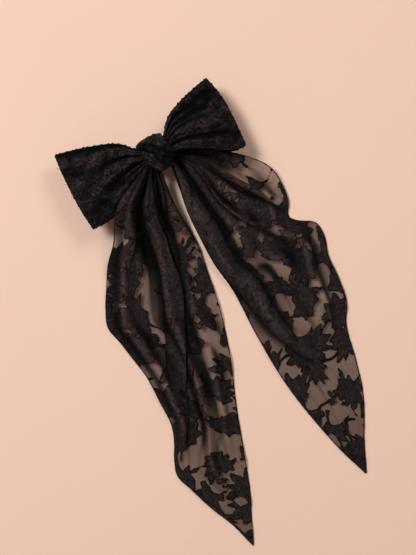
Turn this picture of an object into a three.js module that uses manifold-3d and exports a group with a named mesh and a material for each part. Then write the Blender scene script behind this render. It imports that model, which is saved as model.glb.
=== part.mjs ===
// A hair bow of burnout cloth: two loops, a folded knot and two long pointed tails, on a spring barrette.
// Millimetres. X runs along the barrette, Y away from the tails, Z from the hair to the front of the bow.
// The origin is on the underside of the closed clasp arm, below the middle of the knot.
import * as THREE from "three";
import { mergeVertices } from "three/addons/utils/BufferGeometryUtils.js";
import Module from "manifold-3d";

const wasm = await Module();
wasm.setup();

const clothThickness = 1.2; // a loop is a doubled band, a tail is one pleated layer
const threadRadius = 0.35;
const looseGap = 0.3; // between pieces that touch on the real bow

const plateLength = 80;
const plateWidth = 9.5;
const plateThickness = 0.8;
const plateTop = 12.4; // top of the arch in the middle
const archRadius = 106.5;
const sewingHole = { x: 31, y: 2.4, radius: 0.9 };

const pinAt = { x: -38.5, z: 1.9 };
const pinRadius = 0.7;
const pinHole = 0.79;
const knuckleRadius = 1.9;

const armWidth = 5.5;
const armThickness = 0.9;
const armEnd = 30;
const noseWidth = 7;

const catchStart = 33.5;
const catchEnd = 38.5;
const rivetX = 35.6;

const tailStart = 19.5; // radius round the middle of the knot where the tails leave it

const finish = {
  cloth: { color: 0x241f20, roughness: 0.85, metalness: 0 },
  sheer: { color: 0x3a3030, roughness: 0.8, metalness: 0 },
  thread: { color: 0x141213, roughness: 0.6, metalness: 0 },
  steel: { color: 0xb9b7b2, roughness: 0.32, metalness: 0.9 },
  spring: { color: 0x9c9a94, roughness: 0.4, metalness: 0.9 },
};

// ---------- solids ----------

function solidOf(geometry) {
  const plain = geometry.index ? geometry.toNonIndexed() : geometry.clone();
  plain.deleteAttribute("normal");
  plain.deleteAttribute("uv");
  const merged = mergeVertices(plain, 1e-4);
  return new wasm.Manifold(
    new wasm.Mesh({
      numProp: 3,
      vertProperties: merged.attributes.position.array,
      triVerts: new Uint32Array(merged.index.array),
    }),
  );
}

function geometryOf(solid) {
  const mesh = solid.getMesh();
  const points = new Float32Array(mesh.numVert * 3);
  for (let i = 0; i < mesh.numVert; i++)
    for (let k = 0; k < 3; k++) points[i * 3 + k] = mesh.vertProperties[i * mesh.numProp + k];
  const geometry = new THREE.BufferGeometry();
  geometry.setAttribute("position", new THREE.BufferAttribute(points, 3));
  geometry.setIndex(new THREE.BufferAttribute(new Uint32Array(mesh.triVerts), 1));
  return geometry;
}

function piece(name, shape, look) {
  const geometry = shape.isBufferGeometry ? shape : geometryOf(shape);
  const flat = geometry.index ? geometry.toNonIndexed() : geometry;
  flat.computeVertexNormals();
  const mesh = new THREE.Mesh(flat, new THREE.MeshStandardMaterial({ ...look, flatShading: true }));
  mesh.name = name;
  return mesh;
}

function box(x0, x1, y0, y1, z0, z1) {
  const g = new THREE.BoxGeometry(x1 - x0, y1 - y0, z1 - z0);
  return solidOf(g.translate((x0 + x1) / 2, (y0 + y1) / 2, (z0 + z1) / 2));
}

function rodAlongY(x, z, radius, y0, y1, sides) {
  const g = new THREE.CylinderGeometry(radius, radius, y1 - y0, sides);
  return solidOf(g.translate(x, (y0 + y1) / 2, z));
}

function rodAlongZ(x, y, radius, z0, z1, sides) {
  const g = new THREE.CylinderGeometry(radius, radius, z1 - z0, sides).rotateX(Math.PI / 2);
  return solidOf(g.translate(x, y, (z0 + z1) / 2));
}

// A side view in X and Z, given from left to right and back, pulled out along Y.
function sideways(points, y0, y1) {
  const outline = new THREE.Shape(points.map(([x, z]) => new THREE.Vector2(x, z)));
  const g = new THREE.ExtrudeGeometry(outline, { depth: y1 - y0, bevelEnabled: false });
  return solidOf(g.rotateX(Math.PI / 2).translate(0, y1, 0));
}

function roundedSlab(x0, x1, halfWidth, corner, z0, z1) {
  const s = new THREE.Shape();
  s.moveTo(x0 + corner, -halfWidth);
  s.lineTo(x1 - corner, -halfWidth);
  s.absarc(x1 - corner, -halfWidth + corner, corner, -Math.PI / 2, 0);
  s.absarc(x1 - corner, halfWidth - corner, corner, 0, Math.PI / 2);
  s.lineTo(x0 + corner, halfWidth);
  s.absarc(x0 + corner, halfWidth - corner, corner, Math.PI / 2, Math.PI);
  s.absarc(x0 + corner, -halfWidth + corner, corner, Math.PI, Math.PI * 1.5);
  const g = new THREE.ExtrudeGeometry(s, { depth: z1 - z0, bevelEnabled: false, curveSegments: 5 });
  return solidOf(g.translate(0, 0, z0));
}

// Two matching grids of points joined into one closed skin. closed joins the last row to the first.
function skinBetween(rows, columns, outerAt, innerAt, closed) {
  const rowCount = closed ? rows : rows + 1;
  const across = columns + 1;
  const points = [];
  for (const at of [outerAt, innerAt])
    for (let i = 0; i < rowCount; i++)
      for (let j = 0; j <= columns; j++) points.push(...at(i / rows, j / columns));
  const inner = rowCount * across;
  const id = (i, j) => (i % rowCount) * across + j;
  const faces = [];
  const quad = (a, b, c, d) => faces.push(a, b, c, a, c, d);
  for (let i = 0; i < rows; i++) {
    for (let j = 0; j < columns; j++) {
      quad(id(i, j), id(i + 1, j), id(i + 1, j + 1), id(i, j + 1));
      quad(inner + id(i, j), inner + id(i, j + 1), inner + id(i + 1, j + 1), inner + id(i + 1, j));
    }
    quad(id(i + 1, 0), id(i, 0), inner + id(i, 0), inner + id(i + 1, 0));
    quad(id(i, columns), id(i + 1, columns), inner + id(i + 1, columns), inner + id(i, columns));
  }
  if (!closed)
    for (let j = 0; j < columns; j++) {
      quad(id(0, j), id(0, j + 1), inner + id(0, j + 1), inner + id(0, j));
      quad(id(rows, j + 1), id(rows, j), inner + id(rows, j), inner + id(rows, j + 1));
    }
  let volume = 0;
  const corner = (f) => new THREE.Vector3().fromArray(points, faces[f] * 3);
  for (let f = 0; f < faces.length; f += 3)
    volume += corner(f).dot(corner(f + 1).cross(corner(f + 2)));
  if (volume < 0)
    for (let f = 0; f < faces.length; f += 3) [faces[f + 1], faces[f + 2]] = [faces[f + 2], faces[f + 1]];
  const geometry = new THREE.BufferGeometry();
  geometry.setAttribute("position", new THREE.Float32BufferAttribute(points, 3));
  geometry.setIndex(faces);
  return geometry;
}

// A curve through [key, value] pairs, read at any key.
function through(pairs) {
  const curve = new THREE.SplineCurve(pairs.map(([k, v]) => new THREE.Vector2(k, v)));
  const last = pairs.length - 1;
  return (key) => {
    if (key <= pairs[0][0]) return pairs[0][1];
    if (key >= pairs[last][0]) return pairs[last][1];
    const n = pairs.findIndex(([k]) => k > key) - 1;
    const part = (key - pairs[n][0]) / (pairs[n + 1][0] - pairs[n][0]);
    return curve.getPoint((n + part) / last).y;
  };
}

// ---------- loops ----------

// profile is the side view of the loop from the waist in front, round the outer fold, to the waist behind.
function loop(side) {
  const profile = new THREE.CatmullRomCurve3(
    side.profile.map(([x, z]) => new THREE.Vector3(x, 0, z)), false, "centripetal");
  const top = through(side.topEdge);
  const bottom = through(side.bottomEdge);
  const reach = side.profile.reduce((most, [x]) => Math.max(most, x), 0);
  const middle = (u, v) => {
    const p = profile.getPointAt(u);
    const across = v * 2 - 1;
    const y = THREE.MathUtils.lerp(bottom(p.x), top(p.x), v);
    const spread = Math.min(p.x / reach, 1);
    const tilt = 1 + spread * (across > 0 ? side.topPull : side.bottomPull) * across * across;
    const inFront = THREE.MathUtils.smoothstep(p.z, 16, 23);
    const openness = Math.sqrt(Math.sin(Math.PI * spread * 0.999));
    const z = p.z - inFront * openness * side.edgeDrop * across * across
      + inFront * openness * 0.7 * Math.cos(across * 7);
    return new THREE.Vector3(p.x * tilt * side.direction, y, z);
  };
  const step = 1e-3;
  const offset = (sign) => (u, v) => {
    const p = middle(u, v);
    const alongU = middle(Math.min(u + step, 1), v).sub(middle(Math.max(u - step, 0), v));
    const alongV = middle(u, Math.min(v + step, 1)).sub(middle(u, Math.max(v - step, 0)));
    const n = alongU.cross(alongV).normalize();
    return p.addScaledVector(n, sign * clothThickness / 2).toArray();
  };
  return skinBetween(24, 8, offset(1), offset(-1), false);
}

const leftLoop = {
  direction: -1,
  profile: [[0.6, 21.4], [8, 21.9], [16, 24], [28, 27.4], [42, 29.2], [56, 29], [65, 26.4],
    [69.2, 21.4], [65.5, 16.6], [56, 14.4], [42, 13.6], [28, 13.8], [16, 15.4], [8, 16.7], [0.6, 17]],
  topEdge: [[0, 6.3], [10, 6.8], [14, 8.8], [20, 15], [30, 20.4], [42, 24.2], [70, 31]],
  bottomEdge: [[0, -6.3], [10, -6.6], [16, -9.6], [30, -17.6], [46, -26.6], [58, -29.6], [70, -30]],
  topPull: -0.02,
  bottomPull: -0.03,
  edgeDrop: 6,
};

const rightLoop = {
  direction: 1,
  profile: [[0.6, 21.4], [8, 21.9], [16, 24], [28, 27.2], [40, 28.8], [51, 28.6], [58.5, 26],
    [62, 21.4], [58.5, 16.8], [51, 14.6], [40, 13.8], [28, 14], [16, 15.6], [8, 16.7], [0.6, 17]],
  topEdge: [[0, 6.3], [10, 7], [14, 12], [20, 18], [29, 22.2], [45, 26.9], [62, 30.5]],
  bottomEdge: [[0, -6.3], [10, -5.8], [16, -6.4], [33, -14], [54, -25.6], [62, -26]],
  topPull: -0.075,
  bottomPull: -0.015,
  edgeDrop: 4.5,
};

// ---------- tails ----------

// The two long edges run from the knot to the tip; the cloth between them lies in pleats that fade out.
function tail(side) {
  const edge = (points) =>
    new THREE.CatmullRomCurve3(points.map((p) => new THREE.Vector3(...p)), false, "centripetal");
  const left = edge(side.leftEdge);
  const right = edge(side.rightEdge);
  const height = through(side.pleatHeight);
  const at = (lift) => (u, v) => {
    const p = left.getPointAt(u).lerp(right.getPointAt(u), v);
    const swell = 0.5 - 0.5 * Math.cos(Math.PI * 2 * side.pleats * v);
    return [p.x, p.y, p.z + height(u) * swell + lift];
  };
  return skinBetween(26, 14, at(clothThickness / 2), at(-clothThickness / 2), false);
}

const onTable = clothThickness / 2;
const startAt = (degrees, z) => [
  tailStart * Math.cos(THREE.MathUtils.degToRad(degrees)),
  tailStart * Math.sin(THREE.MathUtils.degToRad(degrees)),
  z,
];

const leftTail = {
  leftEdge: [startAt(217, 26), [-22, -14.2, 27.8], [-31, -18, 28.6], [-42, -24.5, 28.2], [-50, -33, 25.6],
    [-59, -47, 13.5], [-71.5, -59, 4], [-81, -75, onTable], [-93, -101, onTable], [-87, -130, onTable],
    [-84, -180, onTable], [-88, -201, onTable], [-97, -224, onTable], [-85, -259, onTable],
    [-72, -294, onTable]],
  rightEdge: [startAt(262, 19), [-4, -30, 13], [-4.2, -45, 6.5], [-4.2, -60, 2.4], [-4.5, -76, onTable],
    [-8, -98, onTable], [-12, -127, onTable], [-24.5, -177, onTable], [-43, -223, onTable],
    [-54, -262, onTable], [-69.5, -295, onTable]],
  pleats: 3.5,
  pleatHeight: [[0, 0.8], [0.1, 2.2], [0.3, 3.4], [0.6, 2.4], [1, 0.2]],
};

const rightTail = {
  leftEdge: [startAt(303, 13), [3, -30, 9], [0.4, -52, 3], [0.6, -73, onTable], [1, -92, onTable],
    [4.5, -118, onTable], [5, -154, onTable], [8, -199, onTable], [16.5, -242, onTable],
    [29.5, -285, onTable]],
  rightEdge: [startAt(336, 12.2), [38, -17.6, 9], [60, -34, 6.2], [72.5, -52, 3], [74, -65, onTable],
    [70, -84, onTable], [84, -104, onTable], [80, -140, onTable], [77, -166, onTable],
    [68, -189, onTable], [58, -230, onTable], [43, -262, onTable], [32.5, -285, onTable]],
  pleats: 3.5,
  pleatHeight: [[0, 0.5], [0.1, 1.2], [0.2, 2.6], [0.45, 3.4], [0.7, 2.2], [1, 0.2]],
};

// ---------- knot ----------

const knotRound = { y: -1.5, z: 19.3, halfY: 13.2, halfZ: 10.3 };
const knotInside = { y: -0.8, z: 17.9, halfY: 9.6, halfZ: 7.4 };

function squareRound(shape, turn, grow) {
  const c = Math.cos(turn);
  const s = Math.sin(turn);
  const far = Math.pow(Math.abs(c) ** 4 + Math.abs(s) ** 4, -0.25);
  return [shape.y + shape.halfY * grow * far * c, shape.z + shape.halfZ * grow * far * s];
}

function knotWrap() {
  const half = 10;
  const outer = (u, v) => {
    const turn = u * Math.PI * 2;
    const x = (v * 2 - 1) * half;
    const fold = 0.03 * Math.cos(turn * 3 + x * 0.28);
    const narrow = 0.03 * Math.abs(v * 2 - 1) ** 3;
    return [x, ...squareRound(knotRound, turn, 0.98 + fold - narrow)];
  };
  const inner = (u, v) => [(v * 2 - 1) * half, ...squareRound(knotInside, u * Math.PI * 2, 1)];
  return skinBetween(32, 6, outer, inner, true);
}

function bindingThread() {
  const turns = 3;
  const points = [];
  for (let i = 0; i <= turns * 12; i++) {
    const turn = (i / 12) * Math.PI * 2;
    const [y, z] = squareRound({ y: 0, z: 19.2, halfY: 7.9, halfZ: 3.95 }, turn, 1);
    points.push(new THREE.Vector3((i / 12 - turns / 2) * 1.1, y, z));
  }
  return alongPath(points, threadRadius, 48, false);
}

function alongPath(points, radius, steps, closed) {
  const path = new THREE.CatmullRomCurve3(points, closed, "centripetal");
  const round = new THREE.Shape();
  const sides = 5;
  for (let i = 0; i < sides; i++) {
    const a = (i / sides) * Math.PI * 2;
    if (i) round.lineTo(radius * Math.cos(a), radius * Math.sin(a));
    else round.moveTo(radius, 0);
  }
  return solidOf(
    new THREE.ExtrudeGeometry(round, { steps, bevelEnabled: false, extrudePath: path }),
  );
}

// One whip stitch across the seam below the knot.
function knotStitch(x) {
  const z = 8.2;
  const points = [[x - 0.9, -3.4, z + 0.3], [x - 0.4, -2.6, z], [x + 0.4, -1.2, z], [x + 0.9, -0.4, z + 0.3]];
  return alongPath(points.map((p) => new THREE.Vector3(...p)), 0.25, 6, false);
}

// ---------- clip ----------

const archTop = (x) => plateTop - (archRadius - Math.sqrt(archRadius ** 2 - x ** 2));

function archSide(x0, x1, topAt, thickness, steps) {
  const over = [];
  const under = [];
  for (let i = 0; i <= steps; i++) {
    const x = x0 + ((x1 - x0) * i) / steps;
    over.push([x, topAt(x)]);
    under.push([x, topAt(x) - thickness]);
  }
  return [...under, ...over.reverse()];
}

// A rod square to the arch at the rivet, from z0 to z1 above the plate's outer face.
function rodThroughArch(radius, z0, z1, sides) {
  const g = new THREE.CylinderGeometry(radius, radius, z1 - z0, sides).rotateX(Math.PI / 2);
  g.translate(0, 0, (z0 + z1) / 2).rotateY(Math.asin(rivetX / archRadius));
  return solidOf(g.translate(rivetX, 0, archTop(rivetX)));
}

function basePlate() {
  const half = plateLength / 2;
  let plate = sideways(archSide(-half - 1, half + 1, archTop, plateThickness, 20), -6, 6);
  plate = plate.intersect(roundedSlab(-half, half, plateWidth / 2, 3, 0, 20));
  for (const sign of [-1, 1]) {
    const ear = box(pinAt.x - 1.6, pinAt.x + 1.6, sign * 4 - 0.4, sign * 4 + 0.4, pinAt.z, 4.9)
      .add(rodAlongY(pinAt.x, pinAt.z, 1.6, sign * 4 - 0.4, sign * 4 + 0.4, 20));
    plate = plate.add(ear);
    for (const x of [-sewingHole.x, sewingHole.x])
      plate = plate.subtract(rodAlongZ(x, sign * sewingHole.y, sewingHole.radius, 0, 20, 12));
  }
  return plate
    .subtract(rodAlongY(pinAt.x, pinAt.z, pinHole, -7, 7, 24))
    .subtract(rodThroughArch(1.3, -4, 4, 14));
}

function tensionBar() {
  const top = (x) => 7.55 - x * x / 702;
  const bar = sideways(archSide(-33.5, 32, top, 0.4, 16), -2.5, 2.5);
  return bar.intersect(roundedSlab(-33, 31.5, 2.5, 2, 0, 20));
}

function hingePin() {
  return rodAlongY(pinAt.x, pinAt.z, pinRadius, -5, 5, 24)
    .add(rodAlongY(pinAt.x, pinAt.z, 1.1, 4.7, 5.2, 16))
    .add(rodAlongY(pinAt.x, pinAt.z, 1.1, -5.2, -4.7, 16));
}

// A flat strip, rolled round the pin at one end and stepped up into a wider nose at the other.
function claspArm() {
  const half = armWidth / 2;
  const strip = box(pinAt.x, armEnd, -half, half, 0, armThickness);
  const step = sideways(
    [[armEnd - 1, 0], [armEnd, 0], [armEnd + 2.2, 1.3], [armEnd + 4.5, 1.3],
      [armEnd + 4.5, 1.3 + armThickness], [armEnd + 1.8, 1.3 + armThickness], [armEnd - 1, armThickness]],
    -half, half);
  const nose = roundedSlab(armEnd + 4, armEnd + 8, noseWidth / 2, 1.2, 1.3, 1.3 + armThickness);
  return strip.add(step).add(nose)
    .add(rodAlongY(pinAt.x, pinAt.z, knuckleRadius, -half, half, 28))
    .subtract(rodAlongY(pinAt.x, pinAt.z, pinHole, -7, 7, 24));
}

function catchBase() {
  const roofTop = (x) => archTop(x) - plateThickness - looseGap;
  const roof = sideways(archSide(catchStart, catchEnd, roofTop, 0.5, 4), -4.3, 4.3);
  const sides = [-1, 1].map((sign) =>
    sideways([[catchStart, 2.8], [catchEnd, 2.8], [catchEnd, roofTop(catchEnd) - 0.1],
      [catchStart, roofTop(catchStart) - 0.1]], sign * 4.05 - 0.25, sign * 4.05 + 0.25));
  return roof.add(sides[0]).add(sides[1]).subtract(rodThroughArch(1.3, -4, 4, 14));
}

function catchRivet() {
  return rodThroughArch(0.9, -2, 0.5, 14)
    .add(rodThroughArch(1.9, 0.3, 0.8, 16))
    .add(rodThroughArch(1.7, -2.2, -1.8, 16));
}

// A wing: an upright wall, a lip that reaches in below the nose, and a finger tab outside.
function catchWing(sign) {
  const between = (a, b) => (sign > 0 ? [a, b] : [-b, -a]);
  const wall = box(catchStart, catchEnd, ...between(4.6, 5.2), 0.25, 4.1);
  const lip = box(catchStart, catchEnd, ...between(3.8, 4.9), 0.25, 0.85);
  const tab = box(catchStart + 0.8, catchEnd - 0.8, ...between(5, 8), 3.3, 3.9);
  return wall.add(lip).add(tab);
}

// Thread that goes up through a sewing hole and back round the edge of the plate.
function plateTie(x) {
  const y = sewingHole.y + 1.6;
  const z = archTop(x) - plateThickness / 2;
  const points = [];
  for (let i = 0; i < 10; i++) {
    const a = (i / 10) * Math.PI * 1.9;
    points.push(new THREE.Vector3(x, y - 1.6 * Math.cos(a), z + 1.1 * Math.sin(a)));
  }
  return alongPath(points, 0.3, 16, false);
}

// ---------- the bow ----------

const bow = new THREE.Group();
bow.name = "hair_bow";
bow.add(
  piece("loop_left", loop(leftLoop), finish.cloth),
  piece("loop_right", loop(rightLoop), finish.cloth),
  piece("tail_left", tail(leftTail), finish.sheer),
  piece("tail_right", tail(rightTail), finish.sheer),
  piece("knot_wrap", knotWrap(), finish.cloth),
  piece("binding_thread", bindingThread(), finish.thread),
  piece("base_plate", basePlate(), finish.steel),
  piece("tension_bar", tensionBar(), finish.spring),
  piece("hinge_pin", hingePin(), finish.steel),
  piece("clasp_arm", claspArm(), finish.steel),
  piece("catch_base", catchBase(), finish.steel),
  piece("catch_rivet", catchRivet(), finish.steel),
  piece("catch_wing_front", catchWing(-1), finish.steel),
  piece("catch_wing_back", catchWing(1), finish.steel),
  piece("plate_tie_left", plateTie(-sewingHole.x), finish.thread),
  piece("plate_tie_right", plateTie(sewingHole.x), finish.thread),
);
[-6, -2, 2, 6].forEach((x, i) => bow.add(piece("knot_stitch_" + (i + 1), knotStitch(x), finish.thread)));

export default bow;
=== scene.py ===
import bpy
import bmesh
import math
import random
import numpy as np
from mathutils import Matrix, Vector


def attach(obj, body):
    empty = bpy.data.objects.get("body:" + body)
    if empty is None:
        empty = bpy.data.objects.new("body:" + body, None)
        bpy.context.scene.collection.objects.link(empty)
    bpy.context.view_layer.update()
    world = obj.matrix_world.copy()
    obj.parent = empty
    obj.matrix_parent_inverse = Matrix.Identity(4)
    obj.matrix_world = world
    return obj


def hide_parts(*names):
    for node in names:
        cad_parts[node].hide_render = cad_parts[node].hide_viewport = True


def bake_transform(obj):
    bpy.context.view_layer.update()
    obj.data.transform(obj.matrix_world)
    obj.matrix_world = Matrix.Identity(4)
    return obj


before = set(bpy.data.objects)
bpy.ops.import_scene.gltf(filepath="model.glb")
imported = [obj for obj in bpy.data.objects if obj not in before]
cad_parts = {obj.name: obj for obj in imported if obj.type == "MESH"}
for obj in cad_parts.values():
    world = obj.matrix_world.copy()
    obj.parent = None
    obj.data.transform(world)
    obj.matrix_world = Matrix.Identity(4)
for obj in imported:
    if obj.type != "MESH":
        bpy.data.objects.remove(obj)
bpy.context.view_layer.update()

# A hair bow of burnout cloth on a spring barrette, laid flat with its tails spread.
# Lengths in the settings are millimetres; meshes are made in metres.
mm = 0.001
fullTurn = 6.28  # radians, near enough for waves

# camera, floor and light

cameraLook = {"at": (-8.1, -101.2), "height": 900, "turn": -27, "lens": 76.8}
floorLook = {"z": -0.4, "flatRadius": 2400, "bend": 900, "colour": (0.83, 0.60, 0.483, 1)}
lamps = {
    "keyLight": {"from": (-700, 950, 1900), "size": 700, "watts": 40, "colour": (1, 0.985, 0.975)},
    "fillLight": {"from": (1350, 500, 1700), "size": 700, "watts": 12, "colour": (1, 0.985, 0.98)},
}
worldLook = {"colour": (1, 0.95, 0.91, 1), "strength": 0.17}


def makeCamera():
    camera = bpy.data.cameras.new("camera")
    camera.sensor_width = 36
    camera.lens = cameraLook["lens"]
    holder = bpy.data.objects.new("camera", camera)
    holder.location = (cameraLook["at"][0] * mm, cameraLook["at"][1] * mm, cameraLook["height"] * mm)
    holder.rotation_euler = (0, 0, math.radians(cameraLook["turn"]))
    bpy.context.scene.collection.objects.link(holder)
    bpy.context.scene.camera = holder


def makeLights():
    for name, look in lamps.items():
        lamp = bpy.data.lights.new(name, "AREA")
        lamp.energy = look["watts"]
        lamp.size = look["size"] * mm
        lamp.color = look["colour"]
        holder = bpy.data.objects.new(name, lamp)
        place = np.array(look["from"], float) * mm
        aim = np.array([cameraLook["at"][0], cameraLook["at"][1], 0]) * mm
        holder.location = place
        holder.rotation_euler = Vector(aim - place).to_track_quat("-Z", "Y").to_euler()
        bpy.context.scene.collection.objects.link(holder)
    world = bpy.data.worlds.new("studio")
    world.use_nodes = True
    back = world.node_tree.nodes["Background"]
    back.inputs["Color"].default_value = worldLook["colour"]
    back.inputs["Strength"].default_value = worldLook["strength"]
    bpy.context.scene.world = world
    bpy.context.scene.view_settings.view_transform = "Standard"


# 0 below low, 1 above high, an even climb between
def smooth(low, high, x):
    t = np.clip((x - low) / (high - low), 0, 1)
    return t * t * (3 - 2 * t)


# a smooth curve through (key, value...) rows, read at any keys
def readAlong(rows, at):
    table = np.array(rows, float)
    keys, values = table[:, 0], table[:, 1:]
    step = np.diff(keys)[:, None]
    rate = np.diff(values, axis=0) / step
    slope = np.empty_like(values)
    slope[0], slope[-1] = rate[0], rate[-1]
    slope[1:-1] = (rate[:-1] * step[1:] + rate[1:] * step[:-1]) / (step[1:] + step[:-1])
    at = np.clip(np.asarray(at, float), keys[0], keys[-1])
    n = np.clip(np.searchsorted(keys, at, side="right") - 1, 0, len(keys) - 2)
    h = (keys[n + 1] - keys[n])[..., None]
    t = (at - keys[n])[..., None] / h
    made = (values[n] * (2 * t**3 - 3 * t**2 + 1) + slope[n] * h * (t**3 - 2 * t**2 + t)
            + values[n + 1] * (3 * t**2 - 2 * t**3) + slope[n + 1] * h * (t**3 - t**2))
    return made[..., 0] if made.shape[-1] == 1 else made


# a curve through points, read by the share of its length
def alongPoints(points, share, flatOnly=False):
    p = np.array(points, float)
    gaps = np.linalg.norm(np.diff(p[:, :2] if flatOnly else p, axis=0), axis=1)
    keys = np.concatenate([[0], np.cumsum(gaps)])
    return readAlong(np.column_stack([keys / keys[-1], p]), share)


def addObject(name, mesh):
    piece = bpy.data.objects.new(name, mesh)
    bpy.context.scene.collection.objects.link(piece)
    return piece


# a rectangle of cloth: places is rows x columns x 3 in mm, flat is rows x columns x 2 in mm
def clothPiece(name, places, flat, marks, material, wall, closed=False):
    rows, columns = places.shape[0] - 1, places.shape[1] - 1
    work = bmesh.new()
    bmesh.ops.create_grid(work, x_segments=columns, y_segments=rows, size=0.5)
    work.verts.index_update()
    spots = np.array([v.co for v in work.verts])
    column = np.rint((spots[:, 0] + 0.5) * columns).astype(int)
    row = np.rint((spots[:, 1] + 0.5) * rows).astype(int)
    mesh = bpy.data.meshes.new(name)
    work.to_mesh(mesh)
    work.free()
    mesh.vertices.foreach_set("co", (places[row, column] * mm).astype(np.float32).ravel())
    for mark, values in marks.items():
        layer = mesh.attributes.new(mark, "FLOAT", "POINT")
        layer.data.foreach_set("value", values[row, column].astype(np.float32))
    corner = np.empty(len(mesh.loops), dtype=np.int32)
    mesh.loops.foreach_get("vertex_index", corner)
    sewing = mesh.uv_layers.new(name="flatCut")
    sewing.data.foreach_set("uv", (flat[row, column][corner] / 100).astype(np.float32).ravel())
    if closed:
        work = bmesh.new()
        work.from_mesh(mesh)
        bmesh.ops.remove_doubles(work, verts=work.verts, dist=1e-6)
        bmesh.ops.recalc_face_normals(work, faces=work.faces)
        work.to_mesh(mesh)
        work.free()
    mesh.polygons.foreach_set("use_smooth", np.ones(len(mesh.polygons), dtype=bool))
    mesh.materials.append(material)
    piece = addObject(name, mesh)
    thicken = piece.modifiers.new("wall", "SOLIDIFY")
    thicken.thickness = wall * mm
    thicken.offset = 0
    return settle(piece)


# the modifiers' result becomes the piece's own mesh
def settle(piece):
    now = bpy.context.evaluated_depsgraph_get()
    made = bpy.data.meshes.new_from_object(piece.evaluated_get(now), preserve_all_data_layers=True,
                                           depsgraph=now)
    made.name = piece.name
    piece.modifiers.clear()
    piece.data = made
    return piece


# one mesh of round threads, each a path of points in mm with its own radius
def threadPiece(name, paths, material, sides=2):
    curve = bpy.data.curves.new(name, "CURVE")
    curve.dimensions = "3D"
    curve.bevel_depth = mm
    curve.bevel_resolution = sides
    curve.use_fill_caps = True
    for path, radius in paths:
        line = curve.splines.new("POLY")
        line.points.add(len(path) - 1)
        line.points.foreach_set("co", np.column_stack([np.array(path) * mm, np.ones(len(path))]).ravel())
        for k, point in enumerate(line.points):
            point.radius = radius if np.isscalar(radius) else radius[k]
    holder = bpy.data.objects.new(name + "Line", curve)
    bpy.context.scene.collection.objects.link(holder)
    bpy.context.view_layer.update()
    now = bpy.context.evaluated_depsgraph_get()
    mesh = bpy.data.meshes.new_from_object(holder.evaluated_get(now), depsgraph=now)
    mesh.name = name
    bpy.data.objects.remove(holder)
    mesh.materials.clear()
    mesh.materials.append(material)
    mesh.polygons.foreach_set("use_smooth", np.ones(len(mesh.polygons), dtype=bool))
    return addObject(name, mesh)


# node helpers
def addNode(tree, kind, inputs=None, **settings):
    node = tree.nodes.new("ShaderNode" + kind)
    for key, value in settings.items():
        setattr(node, key, value)
    for key, value in (inputs or {}).items():
        if isinstance(value, bpy.types.NodeSocket):
            tree.links.new(value, node.inputs[key])
        else:
            node.inputs[key].default_value = value
    return node


def reckon(tree, operation, a, b=0.5, c=0.5, clamp=False):
    return addNode(tree, "Math", {0: a, 1: b, 2: c}, operation=operation, use_clamp=clamp).outputs[0]


def times(tree, a, b):
    return reckon(tree, "MULTIPLY", a, b)


# value * factor + plus
def scaled(tree, value, factor, plus):
    return reckon(tree, "MULTIPLY_ADD", value, factor, plus)


def mixColours(tree, share, a, b):
    return addNode(tree, "Mix", {0: share, 6: a, 7: b}, data_type="RGBA").outputs[2]


def shaded(tree, colour, shade):
    return addNode(tree, "Mix", {0: 1.0, 6: colour, 7: shade}, data_type="RGBA",
                   blend_type="MULTIPLY").outputs[2]


def ramp(tree, value, low, high):
    return addNode(tree, "MapRange", {"Value": value, 1: low, 2: high, 3: 0.0, 4: 1.0},
                   interpolation_type="SMOOTHSTEP").outputs[0]


def noise(tree, at, scale, detail, **more):
    return addNode(tree, "TexNoise", {"Vector": at, "Scale": scale, "Detail": detail, **more}).outputs["Fac"]


def markOn(tree, name):
    return addNode(tree, "Attribute", attribute_name=name).outputs["Fac"]


def objectPlace(tree):
    return addNode(tree, "TexCoord").outputs["Object"]


def bumped(tree, shader, height, strength, distance):
    bump = addNode(tree, "Bump", {"Height": height, "Strength": strength, "Distance": distance})
    tree.links.new(bump.outputs[0], shader.inputs["Normal"])


# the over and under of the threads, across and along
def weaveOn(tree, cut, threadsPer100, uneven):
    warp, weft = [addNode(tree, "TexWave", {"Vector": cut, "Scale": threadsPer100 / (2 * math.pi),
                                            "Distortion": uneven, "Detail": 1.0},
                          bands_direction=way).outputs["Fac"] for way in "XY"]
    return scaled(tree, warp, 0.5, times(tree, weft, 0.5))


# the leaf mark with a frayed outline, in mm from the outline
def frayedLeaf(tree, cut):
    return reckon(tree, "ADD", markOn(tree, "leaf"), scaled(tree, noise(tree, cut, 70.0, 3.0), 0.9, -0.45))


# thin crooked creases in the cloth: 1 in a crease, 0 beside it; the materials dent them as bump and darken them as
# painted shade
def puckers(tree, cut, scale, thin):
    folds = noise(tree, cut, scale, 3.0, Roughness=0.5, Distortion=0.6)
    side = reckon(tree, "ABSOLUTE", reckon(tree, "SUBTRACT", folds, 0.5))
    return ramp(tree, side, thin, thin * 0.2)


def freshMaterial(name, constants):
    material = bpy.data.materials.new(name)
    material.use_nodes = True
    tree = material.node_tree
    tree.nodes.clear()
    shader = addNode(tree, "BsdfPrincipled", constants)
    out = addNode(tree, "OutputMaterial")
    tree.links.new(shader.outputs[0], out.inputs["Surface"])
    return material, tree, shader


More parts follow.
